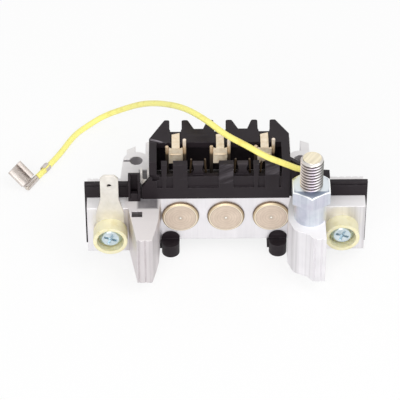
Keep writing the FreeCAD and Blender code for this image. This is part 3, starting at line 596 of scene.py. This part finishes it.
def makeLinkMetal(name, s):
    material, tree, shader = newMaterial(name)
    bright = metalSettings["tinnedSheet"]
    coords = objectCoords(tree)
    patches = addPatches(tree, coords, bright["size"], metalSettings["shared"]["contrast"])
    wallX = place(s["wallX"], 0, 0).x
    inside = between(tree, axesOf(tree, coords)["X"], wallX, wallX + s["wallSoft"])
    color = blendColors(tree, inside, blendColors(tree, patches, bright["low"], bright["high"]),
                        blendColors(tree, patches, s["low"], s["high"]))
    connectShader(tree, shader, color, blendValues(tree, patches, *bright["rough"]),
                  blendValues(tree, inside, bright["metal"], s["metal"]))
    return material


# small diode: black body; dark brown leads, their brown-gold darkened as painted shade inside the housing
smallDiodeSettings = {"body": (0.02, 0.019, 0.024), "wire": (0.08, 0.052, 0.03), "rough": 0.3,
                      "wireFrom": (0.00155, 0.00165)}


def makeSmallDiode(name, middleX, s):
    material, tree, shader = newMaterial(name)
    across = calculate(tree, "ABSOLUTE", axesOf(tree, objectCoords(tree, move=(-middleX, 0, 0)))["X"])
    color = blendColors(tree, between(tree, across, *s["wireFrom"]), s["body"], s["wire"])
    connectShader(tree, shader, color, s["rough"], 0.0)
    return material


blackPlastic = makeBlack("blackPlastic", blackSettings)
nylon = makeNylon("nylon", nylonSettings)
insulation = makeInsulation("leadInsulation", insulationSettings)
print("materials built")


def dress(name, material):
    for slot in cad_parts[name].material_slots:
        slot.material = material


dress("front_heatsink", makeAluminium("frontAluminium", "front"))
dress("rear_heatsink", makeAluminium("rearAluminium", "rear"))
dress("heatsink_insulator", blackPlastic)
dress("terminal_housing", blackPlastic)
dress("link_strip", makeLinkMetal("linkMetal", linkSettings))
dress("blade_terminal", makeMetal("tinnedSheet"))
dress("flag_terminal", makeMetal("brightTin"))
dress("clamp_screws", makeMetal("zincPlate"))
dress("lead_core", makeMetal("tinnedWire"))
for side in ("left", "right"):
    dress("bush_" + side, nylon)
diodeAxes = {
    "positive_diode": [(-16.0, 0.0, 15.9), (0.0, 0.0, 15.9), (16.0, 0.0, 15.9)],
    "negative_diode": [(-20.55, 20.0, 15.9), (-5.05, 20.0, 15.9), (10.45, 20.0, 15.9)],
}
for kind, axes in diodeAxes.items():
    facing = 1.0 if kind == "positive_diode" else -1.0
    for number, axis in enumerate(axes, 1):
        dress(f"{kind}_{number}", makeCap(f"{kind}Cap{number}", place(*axis), facing, capSettings))
tinnedBrass = makeMetal("tinnedBrass")
for number in (1, 2, 3):
    dress(f"phase_terminal_{number}", tinnedBrass)
    small = f"trio_diode_{number}"
    low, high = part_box(small)
    dress(small, makeSmallDiode(f"smallDiode{number}", (low[0] + high[0]) / 2, smallDiodeSettings))
print("frame dressed")


# plating of the stud: painted light on the thread, a painted highlight line along the hexagon's chamfered edges
# with painted shade above it and on the top face in front of the thread, yellowed end face
studMetalSettings = {
    "low": (0.42, 0.49, 0.56),
    "high": (0.74, 0.78, 0.84),
    "tint": (0.66, 0.6, 0.74),
    "streak": (0.92, 0.97, 0.99),
    "chamferGlint": (0.98, 1.0, 1.0),
    "topFace": (0.74, 0.79, 0.82),
    "topShade": (0.25, 0.29, 0.37),
    "root": (0.11, 0.095, 0.09),
    "endEdge": (0.66, 0.63, 0.6),
    "across": [(0.0, (0.95, 0.85, 0.8)), (0.17, (0.62, 0.54, 0.49)), (0.36, (0.82, 0.74, 0.77)),
               (0.52, (0.8, 0.71, 0.83)), (0.7, (0.72, 0.69, 0.71)), (0.9, (0.32, 0.32, 0.31)),
               (1.0, (0.22, 0.22, 0.2))],
    "endFace": (0.93, 0.85, 0.66),
    "endMark": (0.5, 0.42, 0.3),
    "rough": (0.3, 0.46),
    "patches": (260.0, 2.0),
    "tints": (150.0, 2.4),
    "tintMove": (0.3, 0.1, 0.2),
    "tintAmount": 0.5,
    "streaks": (420.0, (1.0, 1.0, 0.03)),
    "streakLimits": (0.44, 0.6),
    "streakAmount": 0.8,
    "topFacing": (0.93, 0.97),
    "slopeFacing": (0.7, 0.8),
    "shadeFrom": (-0.0032, -0.0038),
    "slantFlat": (0.5, 0.866),  # direction of a slanting flat of the hexagon
    "flatLimits": (0.0059, 0.0061),
    "rootRadius": 3.52,
    "crestRadius": 3.92,
    "threadReach": 0.004,
    "threadSoft": 0.00005,
    "endLines": (700.0, (1.0, 0.1, 1.0)),
    "endTurn": (0, 0, 0.6),
    "endLimits": (0.45, 0.65),
    "endAmount": 0.6,
    "grain": (2200.0, 3.0),
    "bump": (0.15, 0.00005),
}


def makeStudMetal(name, axis, threadEnd, s):
    material, tree, shader = newMaterial(name)
    coords = objectCoords(tree)
    around = objectCoords(tree, move=(-axis.x, 0, -axis.y), turn=(pi / 2, 0, 0))
    radius = addGroup(tree, turnedRings, vector=around).outputs["Radius"]
    patches = addPatches(tree, coords, *s["patches"])
    tints = addPatches(tree, objectCoords(tree, move=s["tintMove"]), *s["tints"])
    spot = axesOf(tree, objectCoords(tree, move=tuple(-axis)))
    upward = upwardFacing(tree)
    flatTop = between(tree, upward, *s["topFacing"])
    sloped = times(tree, between(tree, upward, *s["slopeFacing"]),
                   between(tree, upward, *reversed(s["topFacing"])))
    streaks = between(tree, addLines(tree, coords, *s["streaks"]), *s["streakLimits"])
    color = blendColors(tree, patches, s["low"], s["high"])
    color = blendColors(tree, times(tree, streaks, s["streakAmount"]), color, s["streak"])
    color = blendColors(tree, times(tree, tints, s["tintAmount"]), color, s["tint"])
    top = blendColors(tree, between(tree, spot["Y"], *s["shadeFrom"]), s["topFace"], s["topShade"])
    color = blendColors(tree, flatTop, color, top)
    # painted highlight: a bright line along the lower edge of the chamfered slope, beside the six flats; the rest
    # of the slope takes the painted top shade
    across = calculate(tree, "ABSOLUTE", spot["X"])
    along = calculate(tree, "ABSOLUTE", spot["Y"])
    slantX, slantY = s["slantFlat"]
    slanting = calculate(tree, "ADD", times(tree, across, slantX), times(tree, along, slantY))
    flatDistance = calculate(tree, "MAXIMUM", across, slanting)
    slope = blendColors(tree, between(tree, flatDistance, *s["flatLimits"]), s["topShade"], s["chamferGlint"])
    color = blendColors(tree, sloped, color, slope)
    # painted light on the thread: crests light on the left, mauve in the middle and dark on the right, roots
    # painted dark as shade
    crest = addRamp(tree, between(tree, spot["X"], -s["threadReach"], s["threadReach"]), s["across"])
    thread = blendColors(tree, between(tree, radius, s["rootRadius"], s["crestRadius"]), s["root"], crest)
    ending = between(tree, spot["Z"], threadEnd - s["threadSoft"], threadEnd)
    thread = blendColors(tree, ending, thread, s["endEdge"])
    strokes = addLines(tree, objectCoords(tree, turn=s["endTurn"]), *s["endLines"])
    strokes = times(tree, between(tree, strokes, *s["endLimits"]), s["endAmount"])
    ends = blendColors(tree, strokes, s["endFace"], s["endMark"])
    threaded = between(tree, spot["Z"], 0.0, s["threadSoft"])
    color = blendColors(tree, threaded, color, blendColors(tree, flatTop, thread, ends))
    connectShader(tree, shader, color, blendValues(tree, patches, *s["rough"]), 1.0, grainNormal(tree, coords, s))
    return material


# output stud: collar, hexagon with chamfered corners, and a coarse thread up to a chamfered end
studSettings = {
    "x": 29.0,
    "y": -10.5,
    "shankBottom": 7.0,
    "plateTop": 25.0,
    "shankDiameter": 6.96,
    "collarDiameter": 11.2,
    "collarHeight": 8.8,
    "acrossFlats": 13.0,
    "hexHeight": 5.7,
    "hexInset": 0.25,
    "hexSlope": 30.0,
    "hexCuts": 11,
    "roundSteps": 64,
    "threadDiameter": 8.0,
    "threadPitch": 1.25,
    "threadDepth": 0.72,
    "threadSteps": 48,
    "threadSunk": 0.2,
    "crestRound": 0.06,
    "aboveHex": 12.2,
    "endChamfer": 0.8,
    "smoothAngle": 32.0,
}


def turnedSolid(bm, profile, segments):
    # half profile swept round Z; it starts and ends on the axis
    verts = [bm.verts.new((r, 0, z)) for r, z in profile]
    edges = [bm.edges.new(pair) for pair in zip(verts, verts[1:])]
    bmesh.ops.spin(bm, geom=verts + edges, cent=(0, 0, 0), axis=(0, 0, 1), angle=2 * pi, steps=segments,
                   use_merge=True, use_duplicate=False)


def hexNut(bm, s, bottom):
    cornerRadius = s["acrossFlats"] / sqrt(3)
    flatRadius = s["acrossFlats"] / 2 - s["hexInset"]
    top = bottom + s["hexHeight"]
    ring = bmesh.ops.create_circle(bm, cap_ends=False, radius=cornerRadius, segments=6,
                                   matrix=Matrix.Translation((0, 0, bottom)))["verts"]
    edges = list({edge for vert in ring for edge in vert.link_edges})
    bmesh.ops.subdivide_edges(bm, edges=edges, cuts=s["hexCuts"])
    # the collar's top lies at the same height, nearer the axis
    edges = [edge for edge in bm.edges
             if all(abs(v.co.z - bottom) < 1e-6 and v.co.xy.length > flatRadius - 0.3 for v in edge.verts)]

    def extrudeRing(ringEdges):
        made = bmesh.ops.extrude_edge_only(bm, edges=ringEdges)["geom"]
        return ([g for g in made if isinstance(g, bmesh.types.BMVert)],
                [g for g in made if isinstance(g, bmesh.types.BMEdge)])

    upVerts, upEdges = extrudeRing(edges)
    for vert in upVerts:
        over = max(0.0, vert.co.xy.length - flatRadius)
        vert.co.z = top - over * tan(radians(s["hexSlope"]))
    capVerts, capEdges = extrudeRing(upEdges)
    for vert in capVerts:
        vert.co.xy = vert.co.xy.normalized() * flatRadius
        vert.co.z = top
    bmesh.ops.contextual_create(bm, geom=capEdges)
    bmesh.ops.contextual_create(bm, geom=edges)


def threadedEnd(bm, s, bottom, top):
    outer = s["threadDiameter"] / 2
    inner = outer - s["threadDepth"]
    pitch = s["threadPitch"]
    shoulder = outer - s["crestRound"]
    # radius, and height as a share of the pitch
    tooth = [(inner, 0.0), (inner, 0.12), (shoulder, 0.46), (outer, 0.5), (outer, 0.58), (shoulder, 0.62),
             (inner, 0.96), (inner, 1.0)]
    verts = [bm.verts.new((r, 0, bottom - pitch + f * pitch)) for r, f in tooth]
    edges = [bm.edges.new(pair) for pair in zip(verts, verts[1:])]
    turns = int((top - bottom) / pitch) + 3  # past both ends, which are cut off below
    steps = s["threadSteps"]
    bmesh.ops.spin(bm, geom=verts + edges, cent=(0, 0, 0), axis=(0, 0, 1), dvec=(0, 0, pitch / steps),
                   angle=2 * pi * turns, steps=steps * turns, use_merge=False, use_duplicate=False)
    bmesh.ops.remove_doubles(bm, verts=bm.verts, dist=1e-4)
    for z, outward in ((bottom, -1), (top, 1)):
        bmesh.ops.bisect_plane(bm, geom=bm.verts[:] + bm.edges[:] + bm.faces[:], plane_co=(0, 0, z),
                               plane_no=(0, 0, outward), clear_outer=True)
    for vert in bm.verts:
        # the end chamfer cuts the last turns down to a cone
        limit = outer - max(0.0, vert.co.z - (top - s["endChamfer"]))
        radius = vert.co.xy.length
        if radius > limit:
            vert.co.xy *= limit / radius
    bmesh.ops.holes_fill(bm, edges=[edge for edge in bm.edges if edge.is_boundary], sides=0)


def makeStud(s):
    plate = s["plateTop"]
    hexBottom = plate + s["collarHeight"]
    hexTop = hexBottom + s["hexHeight"]
    whole = bpy.data.meshes.new("output_stud_threaded")
    shapes = bmesh.new()
    turnedSolid(shapes, [(0, s["shankBottom"]), (s["shankDiameter"] / 2, s["shankBottom"]),
                         (s["shankDiameter"] / 2, plate), (s["collarDiameter"] / 2, plate),
                         (s["collarDiameter"] / 2, hexBottom), (0, hexBottom)], s["roundSteps"])
    bmesh.ops.remove_doubles(shapes, verts=shapes.verts, dist=1e-5)
    hexNut(shapes, s, hexBottom)
    shapes.to_mesh(whole)
    shapes.free()
    thread = bmesh.new()
    threadedEnd(thread, s, hexTop - s["threadSunk"], hexTop + s["aboveHex"])
    thread.from_mesh(whole)
    bmesh.ops.recalc_face_normals(thread, faces=thread.faces)
    bmesh.ops.translate(thread, verts=thread.verts, vec=(s["x"], s["y"], 0))
    bmesh.ops.translate(thread, verts=thread.verts, vec=shift)
    bmesh.ops.scale(thread, verts=thread.verts, vec=(mm, mm, mm))
    thread.to_mesh(whole)
    thread.free()
    piece = bpy.data.objects.new("output_stud_threaded", whole)
    bpy.context.scene.collection.objects.link(piece)
    axis = place(s["x"], s["y"], hexTop)
    threadEnd = (s["aboveHex"] - s["endChamfer"]) * mm
    whole.materials.append(makeStudMetal("studPlate", axis, threadEnd, studMetalSettings))
    whole.set_sharp_from_angle(angle=radians(s["smoothAngle"]))
    for polygon in whole.polygons:
        polygon.use_smooth = True
    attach(piece, "root")
    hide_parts("output_stud")


makeStud(studSettings)
print("stud built")


# yellow lead: from the outlet behind the stud, over the roof and down behind
leadSettings = {
    "diameter": 0.0022,
    "length": 0.169,
    "points": [
        (30.4, -1.3, 37.9), (26.4, -1.3, 37.9), (20.4, -2.3, 41.9), (13.8, -2.3, 45.1), (7.1, 1.2, 47.3),
        (-0.3, 6.3, 48.0), (-6.8, 14.9, 47.6), (-14.0, 25.9, 43.9), (-21.5, 38.9, 35.3), (-29.5, 53.0, 23.7),
        (-37.8, 64.6, 11.1), (-44.9, 69.7, 3.6), (-50.3, 67.4, 1.2), (-55.8, 61.5, 1.2), (-61.46, 48.37, 1.55),
        (-68.6, 37.3, 1.75),
    ],
}


def makeLead(s):
    curve = bpy.data.curves.new("yellow_lead", "CURVE")
    curve.dimensions = "3D"
    spline = curve.splines.new("NURBS")
    spline.points.add(len(s["points"]) - 1)
    for point, spot in zip(spline.points, s["points"]):
        point.co = (*place(*spot), 1.0)
    spline.order_u = 3
    spline.use_endpoint_u = True
    curve.resolution_u = 16
    curve.bevel_depth = s["diameter"] / 2
    curve.bevel_resolution = 6
    curve.use_fill_caps = True
    lead = bpy.data.objects.new("yellow_lead", curve)
    bpy.context.scene.collection.objects.link(lead)
    curve.materials.append(insulation)
    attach(lead, "root")
    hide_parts("lead_wire")


makeLead(leadSettings)
print("lead laid")


# floor, world and lamps
studioSettings = {
    "worldLight": 0.66,
    "floorSize": 1.5,
    "floorColor": (0.9, 0.9, 0.9),
    "floorLift": 0.8,
    "lamps": [
        {"name": "keyLamp", "at": (-0.25, -1.0, 0.55), "size": 0.9, "power": 7.0},
        {"name": "fillLamp", "at": (0.5, -0.3, 0.8), "size": 0.8, "power": 2.5},
    ],
}


def makeWorld(s):
    world = bpy.data.worlds.new("studioWorld")
    bpy.context.scene.world = world
    world.use_nodes = True
    tree = world.node_tree
    tree.nodes.clear()
    output = tree.nodes.new("ShaderNodeOutputWorld")
    path = addNode(tree, "LightPath")
    seen = calculate(tree, "MAXIMUM", path.outputs["Is Camera Ray"], path.outputs["Is Glossy Ray"])
    seen = calculate(tree, "MAXIMUM", seen, path.outputs["Is Transmission Ray"])
    strength = blendValues(tree, seen, s["worldLight"], 1.0)
    background = addNode(tree, "Background", {"Color": (1, 1, 1, 1), "Strength": strength})
    tree.links.new(background.outputs[0], output.inputs["Surface"])


def makeFloor(s):
    bm = bmesh.new()
    bmesh.ops.create_grid(bm, x_segments=1, y_segments=1, size=s["floorSize"])
    mesh = bpy.data.meshes.new("studioFloor")
    bm.to_mesh(mesh)
    bm.free()
    material = bpy.data.materials.new("paleFloor")
    material.use_nodes = True
    tree = material.node_tree
    tree.nodes.clear()
    output = tree.nodes.new("ShaderNodeOutputMaterial")
    diffuse = addNode(tree, "BsdfDiffuse", {"Color": (*s["floorColor"], 1)})
    white = addNode(tree, "Emission", {"Color": (1, 1, 1, 1), "Strength": 1.0})
    path = addNode(tree, "LightPath")
    seen = calculate(tree, "MAXIMUM", path.outputs["Is Camera Ray"], path.outputs["Is Glossy Ray"])
    lift = times(tree, seen, s["floorLift"])
    mix = addNode(tree, "MixShader", {0: lift, 1: diffuse.outputs[0], 2: white.outputs[0]})
    tree.links.new(mix.outputs[0], output.inputs["Surface"])
    mesh.materials.append(material)
    floor = bpy.data.objects.new("studioFloor", mesh)
    bpy.context.scene.collection.objects.link(floor)


def makeLamps(s):
    for lampData in s["lamps"]:
        lamp = bpy.data.lights.new(lampData["name"], "AREA")
        lamp.shape = "DISK"
        lamp.size = lampData["size"]
        lamp.energy = lampData["power"]
        holder = bpy.data.objects.new(lampData["name"], lamp)
        bpy.context.scene.collection.objects.link(holder)
        holder.location = lampData["at"]
        holder.rotation_euler = (-Vector(lampData["at"])).to_track_quat("-Z", "Y").to_euler()


makeWorld(studioSettings)
makeFloor(studioSettings)
makeLamps(studioSettings)
bpy.context.scene.view_settings.view_transform = "Standard"
print("studio ready")
